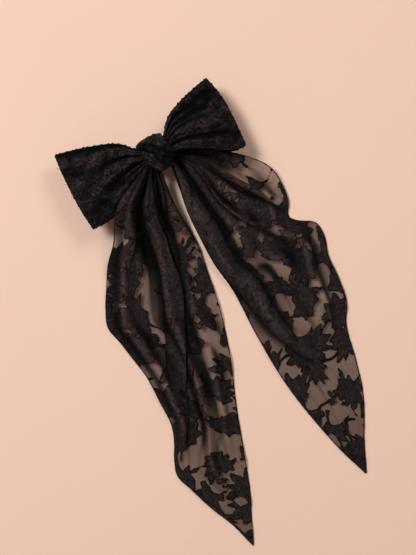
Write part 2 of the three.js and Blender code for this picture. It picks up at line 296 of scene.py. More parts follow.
burnout = {
    "surface": {"Roughness": 0.78, "Sheen Weight": 0.04, "Sheen Roughness": 0.4, "Specular IOR Level": 0.09},
    "leaf": (0.0125, 0.0095, 0.0096, 1),
    "leafWorn": (0.028, 0.0215, 0.021, 1),
    "rim": (0.002, 0.0014, 0.0014, 1),
    "ground": (0.058, 0.0270, 0.0200, 1),
    "groundPacked": (0.0140, 0.0105, 0.0095, 1),
    "groundCover": 0.36,  # one face of one layer
    "threadsPer100": 520,
    "rimSpan": (1.15, 0.55), "innerSpan": (0.75, 0.35), "innerDark": 0.55,  # mm from an outline
    "packedSpan": (1.25, 2.1),  # how closely gathered the ground darkens at; the painted shade in hollows and fold shadows adds to it
    "slubStretch": (60.0, 5.0, 1.0), "crepe": 34.0, "pucker": 11.0,
    # how much painted shade darkens hollows and puckers, and how much painted highlight lightens crests
    "plain": 0.95, "hollowShadeDark": 0.95, "crestHighlightGain": 1.3, "puckerShadeDark": 0.45,
}


# the see-through ground with its leaves; marks on the mesh say where they are
def tailClothMaterial():
    look = burnout
    material, tree, shader = freshMaterial("burnoutCloth", look["surface"])
    cut = addNode(tree, "UVMap", uv_map="flatCut").outputs[0]
    coverAndShade = markOn(tree, "coverAndShade")
    frayed = frayedLeaf(tree, cut)
    inLeaf = ramp(tree, frayed, -0.12, 0.2)
    rim = times(tree, inLeaf, ramp(tree, frayed, *look["rimSpan"]))
    inner = times(tree, inLeaf, ramp(tree, markOn(tree, "outline"), *look["innerSpan"]))
    dark = reckon(tree, "MAXIMUM", rim, times(tree, inner, look["innerDark"]))
    weave = weaveOn(tree, cut, look["threadsPer100"], 0.6)
    stretched = addNode(tree, "Mapping", {"Vector": cut, "Scale": look["slubStretch"]}).outputs[0]
    slub = noise(tree, stretched, 1.0, 4.0)
    crepe = noise(tree, cut, look["crepe"], 5.0, Roughness=0.62)
    pile = mixColours(tree, ramp(tree, crepe, 0.4, 0.7), look["leaf"], look["leafWorn"])
    ground = mixColours(tree, ramp(tree, coverAndShade, *look["packedSpan"]), look["ground"], look["groundPacked"])
    cloth = mixColours(tree, dark, mixColours(tree, inLeaf, ground, pile), look["rim"])
    # painted shade: the colour is darkened in the cloth's hollows and fold shadows, and a painted highlight
    # lightens its crests
    shadedHollows = scaled(tree, markOn(tree, "hollowShade"), -look["hollowShadeDark"], look["plain"])
    shade = scaled(tree, markOn(tree, "crestHighlight"), look["crestHighlightGain"], shadedHollows)
    # painted shade: the base colour is darkened along the thin pucker creases in the leaves
    pucker = times(tree, puckers(tree, cut, look["pucker"], 0.03), inLeaf)
    shade = times(tree, shade, scaled(tree, pucker, -look["puckerShadeDark"], 1.0))
    tree.links.new(shaded(tree, cloth, shade), shader.inputs["Base Color"])
    # the share of the light that one face of the ground lets past, less where it is gathered, less again where
    # shade is painted in hollows and fold shadows, and more under the painted highlight on crests
    clear = reckon(tree, "POWER", 1 - look["groundCover"], coverAndShade)
    clear = times(tree, clear, scaled(tree, slub, -0.22, 1.11))
    clear = times(tree, clear, scaled(tree, weave, 0.08, 0.96))
    closed = reckon(tree, "SUBTRACT", 1.0, clear, clamp=True)
    tree.links.new(reckon(tree, "MAXIMUM", closed, inLeaf), shader.inputs["Alpha"])
    relief = scaled(tree, inLeaf, 0.55, times(tree, crepe, 0.9))
    relief = scaled(tree, weave, 0.14, relief)
    relief = scaled(tree, slub, 0.25, relief)
    relief = scaled(tree, pucker, -0.6, relief)
    bumped(tree, shader, relief, 0.7, 0.0005)
    return material


doubled = {
    "surface": {"Roughness": 0.78, "Sheen Weight": 0.03, "Sheen Roughness": 0.4, "Specular IOR Level": 0.07},
    "leaf": (0.0108, 0.0081, 0.0082, 1),
    "ground": (0.0094, 0.0069, 0.0069, 1),
    "rim": (0.0022, 0.0016, 0.0016, 1),
    "threadsPer100": 480,
    "rimSpan": (1.3, 0.6), "innerSpan": (0.6, 0.25), "innerDark": 0.6,
    "crepe": 30.0, "blotch": 9.0, "pucker": 7.0, "finePucker": 16.0,
    # how much painted shade darkens hollows and puckers, and how much painted highlight lightens crests
    "plain": 0.97, "hollowShadeDark": 0.96, "crestHighlightGain": 1.1, "puckerShadeDark": 0.75,
}


# two layers lined up: the leaves only show as a faint change and a darker outline
def bowClothMaterial():
    look = doubled
    material, tree, shader = freshMaterial("doubledCloth", look["surface"])
    cut = addNode(tree, "UVMap", uv_map="flatCut").outputs[0]
    frayed = frayedLeaf(tree, cut)
    inLeaf = ramp(tree, frayed, -0.2, 0.3)
    rim = times(tree, inLeaf, ramp(tree, frayed, *look["rimSpan"]))
    inner = ramp(tree, markOn(tree, "outline"), *look["innerSpan"])
    dark = reckon(tree, "MAXIMUM", rim, times(tree, inner, look["innerDark"]))
    weave = weaveOn(tree, cut, look["threadsPer100"], 0.8)
    crepe = noise(tree, cut, look["crepe"], 5.0, Roughness=0.6)
    wide = noise(tree, cut, look["blotch"], 4.0, Roughness=0.55)
    cloth = mixColours(tree, inLeaf, look["ground"], look["leaf"])
    cloth = mixColours(tree, times(tree, dark, 0.95), cloth, look["rim"])
    shade = scaled(tree, ramp(tree, crepe, 0.36, 0.66), 1.0, 0.42)
    shade = times(tree, shade, scaled(tree, ramp(tree, wide, 0.3, 0.7), 0.7, 0.62))
    # painted shade in the hollows and a painted highlight on the crests, multiplied into the colour
    shadedHollows = scaled(tree, markOn(tree, "hollowShade"), -look["hollowShadeDark"], look["plain"])
    shade = times(tree, shade, scaled(tree, markOn(tree, "crestHighlight"), look["crestHighlightGain"], shadedHollows))
    # painted shade: the colour is darkened along the pucker creases
    broad, fine = puckers(tree, cut, look["pucker"], 0.03), puckers(tree, cut, look["finePucker"], 0.035)
    pucker = reckon(tree, "MAXIMUM", broad, times(tree, fine, 0.7))
    shade = times(tree, shade, scaled(tree, pucker, -look["puckerShadeDark"], 1.05))
    tree.links.new(shaded(tree, cloth, shade), shader.inputs["Base Color"])
    relief = scaled(tree, inLeaf, 0.5, times(tree, crepe, 1.0))
    relief = scaled(tree, weave, 0.15, relief)
    relief = scaled(tree, pucker, -1.2, relief)
    bumped(tree, shader, relief, 0.8, 0.0007)
    return material


threadLook = {"colour": (0.0035, 0.0027, 0.0027, 1), "worn": (0.0085, 0.0066, 0.0064, 1), "twist": 260.0}


def threadMaterial():
    material, tree, shader = freshMaterial("blackThread", {"Roughness": 0.75, "Specular IOR Level": 0.15})
    at = objectPlace(tree)
    ply = addNode(tree, "TexWave", {"Vector": at, "Scale": threadLook["twist"], "Distortion": 1.2,
                                    "Detail": 1.0}, bands_direction="DIAGONAL").outputs["Fac"]
    fuzz = noise(tree, at, 900.0, 3.0)
    colour = mixColours(tree, ramp(tree, fuzz, 0.35, 0.75), threadLook["colour"], threadLook["worn"])
    tree.links.new(colour, shader.inputs["Base Color"])
    bumped(tree, shader, scaled(tree, ply, 0.7, fuzz), 0.6, 0.0002)
    return material


clipSteel = {"colour": (0.60, 0.585, 0.555, 1), "dulled": (0.44, 0.425, 0.40, 1), "bright": (0.78, 0.77, 0.75, 1),
             "roughness": 0.24}
springSteel = {"colour": (0.36, 0.35, 0.345, 1), "dulled": (0.25, 0.245, 0.25, 1), "bright": (0.58, 0.57, 0.56, 1),
               "roughness": 0.30}
drawnGrain = (120.0, 4200.0, 2600.0)
scratches = {"Rotation": (0.0, 0.0, 0.6), "Scale": (90.0, 900.0, 300.0)}


# stamped sheet with a drawn grain along X, dulled and scuffed here and there
def steelMaterial(name, look):
    material, tree, shader = freshMaterial(name, {"Metallic": 1.0, "Anisotropic": 0.35})
    at = objectPlace(tree)
    drawn = addNode(tree, "Mapping", {"Vector": at, "Scale": drawnGrain}).outputs[0]
    grain = noise(tree, drawn, 1.0, 3.0)
    patch = noise(tree, at, 130.0, 4.0)
    crossed = addNode(tree, "Mapping", {"Vector": at, **scratches}).outputs[0]
    scratched = addNode(tree, "TexVoronoi", {"Vector": crossed, "Scale": 1.0},
                        feature="DISTANCE_TO_EDGE").outputs["Distance"]
    scuff = times(tree, ramp(tree, scratched, 0.03, 0.0), ramp(tree, patch, 0.5, 0.68))
    colour = mixColours(tree, ramp(tree, patch, 0.35, 0.7), look["colour"], look["dulled"])
    colour = mixColours(tree, times(tree, scuff, 0.5), colour, look["bright"])
    tree.links.new(colour, shader.inputs["Base Color"])
    rough = scaled(tree, scuff, 0.12, scaled(tree, grain, 0.16, look["roughness"]))
    tree.links.new(rough, shader.inputs["Roughness"])
    bumped(tree, shader, reckon(tree, "SUBTRACT", grain, scuff), 0.35, 0.00006)
    return material


def floorMaterial():
    material, tree, shader = freshMaterial("paleFloor", {"Roughness": 0.92, "Specular IOR Level": 0.15})
    at = objectPlace(tree)
    cloud, grain = noise(tree, at, 5.0, 3.0), noise(tree, at, 900.0, 2.0)
    shade = scaled(tree, cloud, 0.05, scaled(tree, grain, 0.03, 0.96))
    tree.links.new(shaded(tree, floorLook["colour"], shade), shader.inputs["Base Color"])
    return material


# a round studio floor whose rim bends up out of sight
def makeFloor():
    flat, bend = floorLook["flatRadius"] * mm, floorLook["bend"] * mm
    work = bmesh.new()
    rim = [(flat + bend * math.sin(a), bend * (1 - math.cos(a))) for a in np.linspace(0, math.pi / 2, 9)]
    line = [work.verts.new((r, 0, z)) for r, z in [(0, 0), (flat / 2, 0)] + rim + [(flat + bend, 2.6 * bend)]]
    edges = [work.edges.new(pair) for pair in zip(line, line[1:])]
    bmesh.ops.spin(work, geom=line + edges, axis=(0, 0, 1), cent=(0, 0, 0), angle=2 * math.pi, steps=72,
                   use_merge=True)
    bmesh.ops.remove_doubles(work, verts=work.verts, dist=1e-5)
    bmesh.ops.translate(work, verts=work.verts, vec=(0, 0, floorLook["z"] * mm))
    bmesh.ops.recalc_face_normals(work, faces=work.faces)
    mesh = bpy.data.meshes.new("floor")
    work.to_mesh(mesh)
    work.free()
    mesh.polygons.foreach_set("use_smooth", np.ones(len(mesh.polygons), dtype=bool))
    mesh.materials.append(floorMaterial())
    addObject("floor", mesh)


# The leaf pattern is worked out on the flat cloth.

leafPrint = {
    "pitch": 27.5, "stray": 4.5, "size": (14.5, 19.0), "stem": 1.1, "stemShare": 0.26,
    # each lobe is its direction, length and width, in radians and shares of the leaf's size
    "broad": [(0.05, 1.16, 0.44), (0.72, 1.02, 0.34), (1.32, 1.1, 0.38), (-0.62, 1.0, 0.34),
              (-1.22, 1.12, 0.38),
              (2.0, 0.92, 0.36), (-1.9, 0.95, 0.36), (2.65, 0.74, 0.34), (-2.55, 0.76, 0.34)],
    "long": [(0, 1.32, 0.34), (0.56, 1.06, 0.3), (-0.52, 1.1, 0.3), (1.1, 0.88, 0.34), (-1.08, 0.86, 0.34),
             (1.75, 0.76, 0.38), (-1.7, 0.78, 0.38), (2.5, 0.86, 0.34), (-2.45, 0.84, 0.34),
             (3.1, 1.1, 0.26)],
    "tooth": 0.035, "sway": 1.5,
    "rowShare": 0.88,  # spacing of the rows against the pitch
    "margin": 20, "reach": 28,  # how far beyond the cloth leaves start, and a leaf's furthest point
    "upTo": {"broad": 0.6, "long": 0.8, "sprig": 0.97},  # the rest are blossoms
}


# how far inside the outline of a lobed leaf each point lies
def lobedLeaf(px, py, size, lobes, body):
    angle = np.arctan2(py, px)
    reach = np.hypot(px, py) + 1e-6

    def outlineAt(a):
        r = np.full_like(a, body)
        for centre, length, width in lobes:
            off = np.abs((a - centre + math.pi) % (2 * math.pi) - math.pi) / width
            teeth = leafPrint["tooth"] * (1 - np.abs((off * 2.4) % 1 - 0.5) * 2) * (off < 1.2)
            r = np.maximum(r, body + (length - body) * np.clip(1 - off, 0, 1) ** 0.9 + teeth)
        return size * r

    r = outlineAt(angle)
    slope = (outlineAt(angle + 0.02) - r) / 0.02
    steep = np.sqrt(1 + (slope / np.maximum(reach, 3)) ** 2)
    return (r - reach) / (1 + (steep - 1) * smooth(0.7, 0.95, reach / r))


# a narrow wavy leaf along x
def sprig(px, py, size):
    along = px / size + 0.5

    def halfWidth(a):
        a = np.clip(a, 0, 1)
        taper = np.sqrt(np.sin(math.pi * a ** 0.8) + 1e-4) * (1 - 0.35 * a)
        return size * 0.24 * taper * (0.55 + 0.45 * np.abs(np.sin(math.pi * 3.6 * a + 0.4)) ** 0.7)

    w = halfWidth(along)
    slope = (halfWidth(along + 0.01) - w) / (0.01 * size)
    inside = (w - np.abs(py + 1.2 * np.sin(along * 5))) / np.sqrt(1 + slope ** 2)
    beyond = (np.abs(along - 0.5) - 0.5) * size
    return np.where(beyond > 0, -np.hypot(beyond, py), inside)


# five petals round an open eye
def blossom(px, py, size):
    angle = np.arctan2(py, px)
    reach = np.hypot(px, py)
    petals = size * (0.82 + 0.18 * np.abs(np.cos(2.5 * angle))) - reach
    return np.minimum(petals, reach - size * (0.26 + 0.14 * np.cos(5 * angle)))


def leafStem(px, py, start, end, bow):
    dx, dy = end[0] - start[0], end[1] - start[1]
    length = math.hypot(dx, dy)
    along = ((px - start[0]) * dx + (py - start[1]) * dy) / length
    t = np.clip(along / length, 0, 1)
    side = ((px - start[0]) * -dy + (py - start[1]) * dx) / length - bow * np.sin(math.pi * t)
    return leafPrint["stem"] - np.hypot(side, along - t * length)


# inside is positive within a leaf, in mm from its outline; outline is the distance to any outline
def leafField(flat, seed):
    sway = leafPrint["sway"]
    x = flat[..., 0] + sway * np.sin(flat[..., 1] / 6.1 + 0.7) + 0.5 * sway * np.sin(flat[..., 1] / 2.7)
    y = flat[..., 1] + sway * np.sin(flat[..., 0] / 5.3 + 1.9) + 0.5 * sway * np.sin(flat[..., 0] / 3.1)
    luck = random.Random(seed)
    pitch, rowPitch = leafPrint["pitch"], leafPrint["pitch"] * leafPrint["rowShare"]
    margin, reach, upTo = leafPrint["margin"], leafPrint["reach"], leafPrint["upTo"]
    inside = np.full_like(x, -6.0)
    outline = np.full_like(x, 6.0)
    x0, y0 = x.min() - margin, y.min() - margin
    spots = {}
    for j in range(int((y.max() + margin - y0) / rowPitch) + 2):
        for i in range(int((x.max() + margin - x0) / pitch) + 2):
            cx = x0 + (i + 0.5 * (j % 2)) * pitch + luck.uniform(-1, 1) * leafPrint["stray"]
            cy = y0 + j * rowPitch + luck.uniform(-1, 1) * leafPrint["stray"]
            spots[i, j] = (cx, cy)
            turn = luck.uniform(0, 2 * math.pi)
            kind = luck.random()
            size = luck.uniform(*leafPrint["size"])
            near = (np.abs(x - cx) < reach) & (np.abs(y - cy) < reach)
            dx, dy = x[near] - cx, y[near] - cy
            px = dx * math.cos(turn) + dy * math.sin(turn)
            py = dy * math.cos(turn) - dx * math.sin(turn)
            if kind < upTo["broad"]:
                field = lobedLeaf(px, py, size, leafPrint["broad"], 0.58)
            elif kind < upTo["long"]:
                field = lobedLeaf(px, py * 1.15, size, leafPrint["long"], 0.52)
            elif kind < upTo["sprig"]:
                field = sprig(px, py, size * 1.7)
            else:
                field = blossom(px, py, size * 0.55)
            outline[near] = np.minimum(outline[near], np.abs(field))
            inside[near] = np.maximum(inside[near], field)
    for (i, j), start in spots.items():
        for end in (spots.get((i + 1, j)), spots.get((i, j + 1))):
            if end is not None and luck.random() < leafPrint["stemShare"]:
                inside = np.maximum(inside, leafStem(x, y, start, end, luck.uniform(-3, 3)))
    return inside, outline


tailCloth = {
    "wall": 0.26, "columns": 124, "rows": 268, "cutWidth": 125, "pile": 0.16, "hemRadius": 0.36,
    "floor": 0.35,  # lowest height of the cloth
    "ridgeReach": (14, 5), "nearKnot": (0.28, 0.08),  # columns averaged near the knot and beyond it
    # relief in mm at which the painted shade in hollows and the painted highlight on crests are full; the covers
    # below make the ground closer under painted shade and more open under painted highlight
    "hollowDepth": 1.5, "crestHeight": 1.7,
    "gatheredCover": 3.5, "hollowShadeCover": 1.8, "crestHighlightCover": 0.22,
    "jagged": 0.75, "leafyLift": 5, "leastBand": 0.8,
}

# A fold takes up its overlap times "used" of the flat cloth, and turns over at the share "openAt" of that. Beyond
# its open edge a shadow is painted on the cloth beneath, fading over "shadowReach" mm and full when the fold takes
# up "fullShadow" mm.
foldShape = {"used": 2.83, "reach": 0.375, "leastReach": 4, "openAt": 0.0581, "edge": 0.707,
             "shadowReach": 3.2, "fullShadow": 17}

# Shares across run from the left edge to the right edge, shares along from the knot to the tip.
# A fold lies over itself by "over" mm; its open edge faces right for side 1 and left for side -1.
leftTail = {
    "leftEdge": [(-7.5, -5, 22), (-18, -10.6, 27), (-31, -17, 28.6), (-42, -23, 28.4), (-48, -29, 26.5),
                 (-59, -46, 14.5),
                 (-71.5, -59, 4.5), (-80, -73, 1), (-88, -87, 0.5), (-93, -101, 0.4), (-90, -114.5, 0.4),
                 (-87, -130, 0.4), (-84, -146, 0.4), (-83.5, -169, 0.4), (-84, -191, 0.4), (-87.5, -201, 0.4),
                 (-94, -214, 0.4), (-97, -224, 0.4), (-92, -240, 0.4), (-85, -259, 0.4), (-76.5, -277.5, 0.4),
                 (-70, -298, 0.4)],
    "rightEdge": [(-2.5, -9, 18), (-5.2, -41, 8.5), (-3.6, -74, 1), (-6.5, -98, 0.4), (-11, -127, 0.4),
                  (-19, -158, 0.4), (-34, -200, 0.4), (-46, -238, 0.4), (-54, -262, 0.4), (-62, -280, 0.4),
                  (-69.5, -298, 0.4)],
    "flatWidth": [(0, 105), (0.1, 125), (0.4, 125), (0.5, 112), (0.62, 88), (0.7, 69), (0.76, 56), (0.81, 45),
                  (0.88, 31), (0.94, 15), (1, 1)],
    "flatLength": 318,
    "folds": [
        {"path": [(0, 0.08), (0.08, 0.2), (0.16, 0.22), (0.225, 0.24), (0.3, 0.26), (1, 0.26)],
         "over": [(0, 5), (0.05, 7), (0.1, 9), (0.17, 8.5), (0.22, 5), (0.27, 0), (1, 0)],
         "height": [(0, 1.6), (0.1, 3.2), (0.2, 3), (0.27, 0), (1, 0)], "side": 1},
        {"path": [(0, 0.34), (0.05, 0.46), (0.1, 0.5), (0.17, 0.51), (0.225, 0.55), (0.285, 0.62),
                  (0.35, 0.62),
                  (0.43, 0.54), (0.53, 0.36), (0.63, 0.2), (0.7, 0.12), (1, 0.1)],
         "over": [(0, 5), (0.06, 9), (0.12, 14), (0.2, 17), (0.285, 16), (0.43, 15.5), (0.53, 15), (0.63, 11),
                  (0.7, 5), (0.745, 0), (1, 0)],
         "height": [(0, 1.8), (0.1, 4), (0.25, 4.2), (0.5, 3), (0.68, 1.6), (0.745, 0), (1, 0)], "side": 1},
        {"path": [(0, 0.68), (0.06, 0.8), (0.125, 0.76), (0.2, 0.74), (1, 0.74)],
         "over": [(0, 4), (0.1, 4.5), (0.14, 2.5), (0.17, 0), (1, 0)],
         "height": [(0, 1.4), (0.1, 2.4), (0.17, 0), (1, 0)], "side": 1},
    ],
    # ridges and valleys: share across, width in mm and height in mm, all by share along
    "swells": [
        {"path": [(0, 0.14), (0.1, 0.16), (0.2, 0.2), (0.3, 0.24), (0.42, 0.26), (1, 0.26)],
         "width": [(0, 3), (0.1, 6), (0.2, 9), (1, 8)],
         "height": [(0, 1), (0.06, 2.4), (0.2, 3), (0.35, 3), (0.47, 0), (1, 0)]},
        {"path": [(0, 0.3), (0.06, 0.33), (0.16, 0.35), (0.225, 0.39), (0.28, 0.48), (0.36, 0.51), (1, 0.5)],
         "width": [(0, 1.6), (0.06, 2.4), (0.12, 4.5), (0.2, 5.5), (0.28, 4), (1, 3)],
         "height": [(0, -2), (0.05, -5), (0.12, -7.5), (0.2, -6.5), (0.3, -3.5), (0.4, 0), (1, 0)]},
        {"path": [(0, 0.5), (0.1, 0.53), (0.2, 0.55), (1, 0.5)], "width": [(0, 1.4), (0.1, 2), (1, 2)],
         "height": [(0, -2), (0.05, -4), (0.1, -2.5), (0.16, 0), (1, 0)]},
        {"path": [(0, 0.64), (0.05, 0.69), (0.12, 0.72), (0.3, 0.76), (0.4, 0.72), (0.5, 0.58), (0.6, 0.4),
                  (1, 0.3)],
         "width": [(0, 1.4), (0.1, 2.4), (1, 2.6)],
         "height": [(0, -2), (0.05, -5), (0.15, -4.5), (0.3, -2.4), (0.5, -1.2), (0.65, 0), (1, 0)]},
        {"path": [(0, 0.82), (0.06, 0.83), (0.12, 0.81), (1, 0.8)], "width": [(0, 1.3), (0.1, 2), (1, 2)],
         "height": [(0, -1.5), (0.05, -4), (0.12, -3), (0.2, 0), (1, 0)]},
        {"path": [(0, 0.13), (0.1, 0.15), (1, 0.15)], "width": [(0, 1.2), (0.1, 2), (1, 2)],
         "height": [(0, -1.5), (0.05, -2.5), (0.11, -2.5), (0.17, 0), (1, 0)]},
        {"path": [(0, 0.9), (0.2, 0.88), (0.4, 0.86), (0.6, 0.75), (1, 0.7)],
         "width": [(0, 4), (0.2, 8), (1, 8)],
         "height": [(0, 0), (0.08, 1.8), (0.3, 2.6), (0.5, 1.6), (0.7, 0), (1, 0)]},
        {"path": [(0, 0.5), (0.66, 0.5), (0.8, 0.42), (1, 0.5)], "width": [(0, 7), (1, 7)],
         "height": [(0, 0), (0.62, 0), (0.72, 1.8), (0.85, 1.4), (0.95, 0), (1, 0)]},
    ],
    # along this path the leaves close up
    "leafyBand": [(0, 0.4), (0.1, 0.52), (0.2, 0.62), (0.36, 0.655), (0.455, 0.48), (0.55, 0.32),
                  (0.62, 0.15), (1, 0.1)],
    "bandHalf": [(0, 2), (0.12, 5), (0.3, 7), (0.5, 8), (0.62, 6), (0.7, 0.8), (1, 0.8)],
    # see-through places: share along, share across, half length and half width in mm
    "clearings": [(0.18, 0.02, 9, 4), (0.34, 0.42, 24, 5.5), (0.325, 0.17, 7, 4), (0.48, 0.27, 8, 4),
                  (0.52, 0.1, 5, 5),
                  (0.27, 0.85, 17, 4), (0.37, 0.95, 8, 5), (0.4, 0.77, 5, 3), (0.56, 0.97, 8, 4),
                  (0.64, 0.71, 12, 9),
                  (0.71, 0.61, 9, 9), (0.735, 0.32, 8, 5), (0.76, 0.87, 9, 4), (0.83, 0.39, 9, 8),
                  (0.78, 0.21, 5, 4),
                  (0.875, 0.74, 5, 3), (0.63, 0, 6, 3)],
    "gatherEnd": 0.21, "blend": ((-6, -12, 0), (-22, -62, 0)), "seed": 11,
}

rightTail = {
    "leftEdge": [(6.5, -7, 13.5), (3.6, -30.5, 9), (0.8, -52, 3), (1.2, -73, 0.5), (0.8, -92, 0.4),
                 (4.5, -118, 0.4),
                 (5, -154, 0.4), (8, -199, 0.4), (16.5, -242, 0.4), (22.5, -264, 0.4), (31.2, -288, 0.4)],
    "rightEdge": [(8.5, -2.5, 12.6), (38, -17.6, 9), (61, -34.5, 6.2), (73, -52, 3), (74, -64, 0.8),
                  (72.5, -77, 0.5),
                  (68, -89, 0.4), (71, -92.5, 0.4), (84, -102, 0.4), (85, -113, 0.4), (81, -127, 0.4),
                  (80, -147, 0.4), (77, -166, 0.4), (70, -179, 0.4), (63, -210.5, 0.4), (58, -230, 0.4),
                  (51.5, -245.5, 0.4), (43, -262, 0.4), (31.8, -288, 0.4)],
    "flatWidth": [(0, 100), (0.1, 122), (0.2, 125), (0.45, 125), (0.55, 106), (0.62, 90), (0.69, 64),
                  (0.75, 53),
                  (0.81, 44), (0.88, 31), (0.94, 16), (1, 1)],
    "flatLength": 312,
    "folds": [
        {"path": [(0, 0.2), (0.06, 0.16), (0.12, 0.115), (0.2, 0.095), (0.3, 0.09), (0.38, 0.1), (0.45, 0.14),
                  (0.55, 0.22), (0.63, 0.35), (0.7, 0.5), (1, 0.5)],
         "over": [(0, 6), (0.1, 12), (0.2, 13), (0.38, 14), (0.45, 13), (0.55, 11), (0.63, 8), (0.69, 2.5),
                  (0.72, 0), (1, 0)],
         "height": [(0, 1.5), (0.1, 3.6), (0.3, 4), (0.5, 3), (0.63, 1.8), (0.72, 0), (1, 0)], "side": -1},
        {"path": [(0, 0.52), (0.06, 0.6), (0.125, 0.52), (0.19, 0.43), (0.24, 0.44), (0.3, 0.55),
                  (0.37, 0.75),
                  (1, 0.75)],
         "over": [(0, 4), (0.06, 5), (0.15, 5.5), (0.24, 5), (0.3, 3.5), (0.35, 0), (1, 0)],
         "height": [(0, 1.2), (0.08, 2.6), (0.2, 3.4), (0.3, 2.4), (0.36, 0), (1, 0)], "side": -1},
        {"path": [(0, 0.78), (0.08, 0.72), (0.16, 0.68), (0.22, 0.69), (0.28, 0.79), (0.34, 0.93), (1, 0.93)],
         "over": [(0, 3.5), (0.08, 4.5), (0.16, 5), (0.24, 4.5), (0.3, 2.5), (0.33, 0), (1, 0)],
         "height": [(0, 1), (0.08, 2), (0.2, 3), (0.3, 1.6), (0.34, 0), (1, 0)], "side": -1},
    ],
    "swells": [
        {"path": [(0, 0.14), (0.12, 0.14), (0.3, 0.12), (0.5, 0.18), (1, 0.3)],
         "width": [(0, 3), (0.12, 6), (1, 8)],
         "height": [(0, 0.5), (0.1, 2.4), (0.3, 3), (0.5, 2.2), (0.64, 0), (1, 0)]},
        {"path": [(0, 0.36), (0.045, 0.38), (0.12, 0.31), (0.19, 0.27), (0.3, 0.255), (0.38, 0.26),
                  (0.45, 0.28),
                  (0.545, 0.34), (1, 0.4)],
         "width": [(0, 1.4), (0.1, 2.4), (0.3, 3.8), (0.5, 3), (1, 3)],
         "height": [(0, -1.5), (0.05, -4), (0.12, -5), (0.2, -4.5), (0.35, -3), (0.5, -2), (0.6, 0), (1, 0)]},
        {"path": [(0, 0.44), (0.06, 0.48), (0.12, 0.41), (0.2, 0.34), (0.29, 0.37), (0.38, 0.44),
                  (0.47, 0.57),
                  (0.6, 0.66), (1, 0.7)],
         "width": [(0, 2), (0.1, 4), (0.25, 6), (1, 7)],
         "height": [(0, 0.5), (0.1, 2.4), (0.25, 5), (0.4, 4.6), (0.52, 2.6), (0.65, 0), (1, 0)]},
        {"path": [(0, 0.55), (0.06, 0.61), (0.125, 0.52), (0.19, 0.43), (0.24, 0.45), (0.3, 0.56),
                  (0.37, 0.76),
                  (1, 0.76)],
         "width": [(0, 1.3), (0.1, 2), (0.25, 2.6), (1, 3)],
         "height": [(0, -1.5), (0.06, -4), (0.15, -4.5), (0.25, -3), (0.33, -1.2), (0.4, 0), (1, 0)]},
        {"path": [(0, 0.66), (0.08, 0.66), (0.16, 0.55), (0.23, 0.54), (0.3, 0.67), (1, 0.8)],
         "width": [(0, 2), (0.1, 3.5), (0.25, 5), (1, 5)],
         "height": [(0, 0.5), (0.1, 2), (0.22, 3.4), (0.32, 1.6), (0.4, 0), (1, 0)]},
        {"path": [(0, 0.76), (0.08, 0.72), (0.16, 0.64), (0.22, 0.64), (0.28, 0.76), (0.34, 0.96), (1, 1)],
         "width": [(0, 1.2), (0.1, 2), (0.25, 2.4), (1, 3)],
         "height": [(0, -1.2), (0.06, -3), (0.16, -3.6), (0.25, -2.4), (0.33, -0.8), (0.37, 0), (1, 0)]},
        {"path": [(0, 0.9), (0.08, 0.88), (0.14, 0.85), (1, 0.8)], "width": [(0, 1.2), (0.1, 2), (1, 2)],
         "height": [(0, -1), (0.05, -2.4), (0.12, -2), (0.2, 0), (1, 0)]},
        {"path": [(0, 0.95), (0.12, 0.9), (0.24, 0.87), (0.34, 0.85), (1, 0.85)],
         "width": [(0, 3), (0.2, 8), (1, 8)],
         "height": [(0, 0), (0.1, 1.2), (0.22, 3), (0.33, 1.8), (0.42, 0), (1, 0)]},
        {"path": [(0, 0.75), (0.4, 0.78), (0.55, 0.75), (0.7, 0.6), (0.85, 0.5), (1, 0.5)],
         "width": [(0, 9), (1, 9)],
         "height": [(0, 0), (0.36, 0), (0.46, 2.8), (0.62, 2), (0.82, 1.4), (0.95, 0), (1, 0)]},
    ],
    "leafyBand": [(0, 0.2), (0.1, 0.12), (0.3, 0.09), (0.4, 0.13), (0.5, 0.2), (0.6, 0.33), (1, 0.5)],
    "bandHalf": [(0, 4), (0.1, 8), (0.4, 8), (0.55, 5), (0.64, 0.8), (1, 0.8)],
    "clearings": [(0.23, 0.89, 9, 10), (0.21, 0.64, 8, 10), (0.295, 0.9, 7, 5), (0.23, 0.53, 5, 9),
                  (0.41, 0.82, 6, 6),
                  (0.45, 0.9, 8, 4), (0.32, 0.34, 14, 4.5), (0.4, 0.42, 12, 4.5), (0.465, 0.5, 8, 4),
                  (0.52, 0.4, 9, 6),
                  (0.49, 0.07, 16, 4.5), (0.575, 0.14, 12, 4), (0.59, 0.43, 8, 8), (0.63, 0.74, 8, 6),
                  (0.53, 0.88, 7, 5),
                  (0.76, 0.55, 7, 7), (0.76, 0.2, 7, 6), (0.765, 0.92, 7, 4), (0.83, 0.43, 9, 6),
                  (0.89, 0.81, 8, 3),
                  (0.67, 0.17, 5, 5), (0.88, 0.03, 5, 5)],
    "gatherEnd": 0.2, "blend": ((9, -9, 0), (26, -56, 0)), "seed": 26,
}

ripple = {"height": 1.3, "count": 12, "waveLength": (8, 32), "turn": 0.3}


